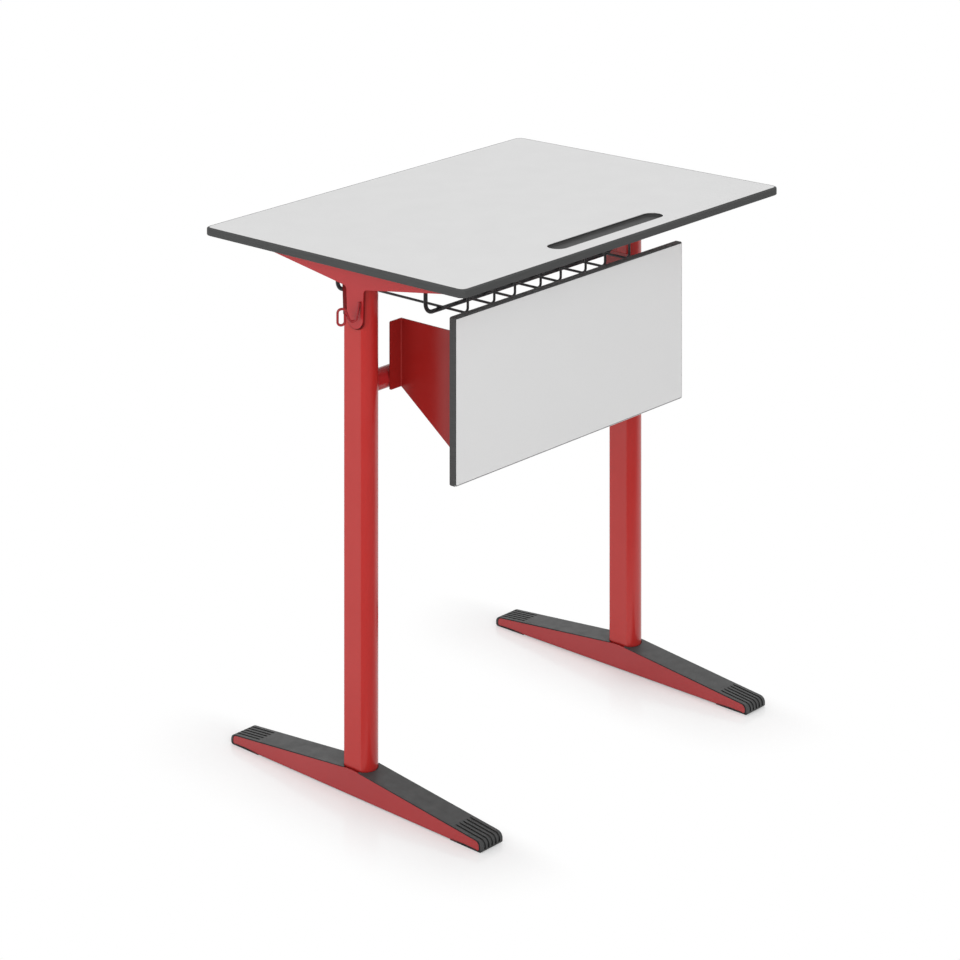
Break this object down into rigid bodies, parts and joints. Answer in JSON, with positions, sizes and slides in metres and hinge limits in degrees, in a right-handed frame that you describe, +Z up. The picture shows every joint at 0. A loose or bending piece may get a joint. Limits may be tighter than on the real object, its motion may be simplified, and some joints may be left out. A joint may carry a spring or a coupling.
{
  "type": "school desk",
  "caption": "School desk with a laminate worktop, pen tray, modesty panel, wire book basket and bag hooks, on flat-sided oval columns with tapering capped feet.",
  "frame": {"origin": "on the floor, under the middle of the worktop: bottom centre of the bounding box", "axes": "+X to the right when looking at the modesty panel, +Y from the modesty panel towards the pupil, +Z up"},
  "size_m": [0.7, 0.5, 0.76],
  "materials": {
    "red_paint": "fine powder coat, semi-matt",
    "grey_decor": "pale grey laminate, fine matt texture",
    "dark_core": "milled laminate core, dark grey",
    "cap_plastic": "moulded, dark grey",
    "wire_coating": "black powder coat, satin",
    "plated_steel": "zinc plated"
  },
  "bodies": {
    "root": {"worktop_core": "dark_core", "worktop_top_decor": "grey_decor", "worktop_bottom_decor": "grey_decor", "modesty_panel_core": "dark_core", "modesty_panel_front_decor": "grey_decor", "modesty_panel_back_decor": "grey_decor", "cross_beam": "red_paint", "foot_bolts": "plated_steel", "basket_tabs": "wire_coating", "left_foot": "red_paint", "left_column": "red_paint", "left_base_plate": "plated_steel", "left_top_support": "red_paint", "left_panel_bracket": "red_paint", "left_bag_hook": "red_paint", "left_foot_front_cap": "cap_plastic", "left_foot_rear_cap": "cap_plastic", "right_foot": "red_paint", "right_column": "red_paint", "right_base_plate": "plated_steel", "right_top_support": "red_paint", "right_panel_bracket": "red_paint", "right_bag_hook": "red_paint", "right_foot_front_cap": "cap_plastic", "right_foot_rear_cap": "cap_plastic", "basket_front_frame": "wire_coating", "basket_rear_frame": "wire_coating", "basket_hairpin_1": "wire_coating", "basket_hairpin_2": "wire_coating", "basket_hairpin_3": "wire_coating", "basket_hairpin_4": "wire_coating", "worktop_screws": "plated_steel", "basket_screws": "plated_steel", "panel_screws": "plated_steel"}
  },
  "joints": []
}
